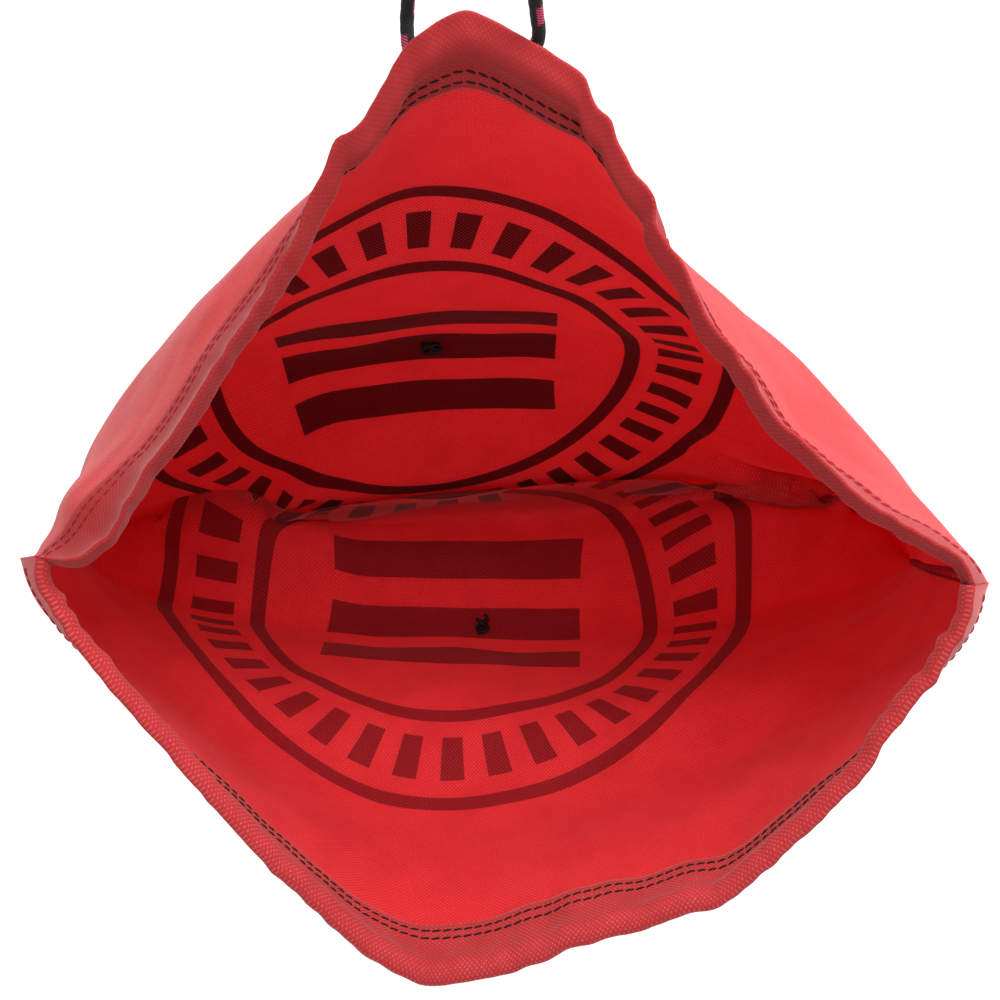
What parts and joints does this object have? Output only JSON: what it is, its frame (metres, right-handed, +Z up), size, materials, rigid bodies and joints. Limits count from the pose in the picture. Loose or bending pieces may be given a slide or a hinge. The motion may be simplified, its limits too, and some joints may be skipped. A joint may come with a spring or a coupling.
{
  "type": "drawstring sack",
  "caption": "Flat drawstring sack of non-woven cloth, hanging open from the knotted ends of its cord, with a stitched hem round the mouth.",
  "frame": {"origin": "on the underside of the knot that joins the two free legs of the drawstring, where a hook lifts the sack", "axes": "+Z up, +X to the right across the mouth as seen from in front, +Y from the front half towards the back half"},
  "size_m": [0.462, 0.3155, 0.7238],
  "materials": {
    "cloth_back": "embossed non-woven, matte with a faint sheen",
    "cloth_front": "embossed non-woven, matte with a faint sheen",
    "thread": "spun sewing thread",
    "cord": "braided, black with pink tracer flecks"
  },
  "bodies": {
    "drawstring": {"end_knot": "cord", "drawstring_left_leg": "cord", "drawstring_right_leg": "cord"},
    "back_half": {"back_panel": "cloth_back", "back_hem_outer_row_needle_thread": "thread", "back_hem_outer_row_bobbin_thread": "thread", "back_hem_inner_row_needle_thread": "thread", "back_hem_inner_row_bobbin_thread": "thread", "drawstring_back_left_run": "cord", "drawstring_back_right_run": "cord", "left_side_seam_thread": "thread", "right_side_seam_thread": "thread", "left_exit_buttonhole": "thread", "right_exit_buttonhole": "thread", "back_tag_knot": "thread"},
    "front_half": {"front_panel": "cloth_front", "front_hem_outer_row_needle_thread": "thread", "front_hem_outer_row_bobbin_thread": "thread", "front_hem_inner_row_needle_thread": "thread", "front_hem_inner_row_bobbin_thread": "thread", "drawstring_front_run": "cord", "front_tag_knot": "thread"}
  },
  "joints": [
    {"name": "drawstring_pull", "type": "slide", "parent": "drawstring", "child": "back_half", "axis": [0, 0, -1], "range_m": [0, 0.1], "deforming": ["drawstring_left_leg", "drawstring_right_leg"]},
    {"name": "mouth_close", "type": "hinge", "parent": "back_half", "child": "front_half", "pos_m": [0.0095, 0.0321, -0.5911], "axis": [-1, 0, 0], "range_deg": [0, 38], "deforming": ["front_panel", "front_hem_outer_row_needle_thread", "front_hem_outer_row_bobbin_thread", "front_hem_inner_row_needle_thread", "front_hem_inner_row_bobbin_thread", "drawstring_front_run"]}
  ],
  "couplings": [
    {"joint": "mouth_close", "follows": "drawstring_pull", "rad_per_m": 6.63}
  ]
}
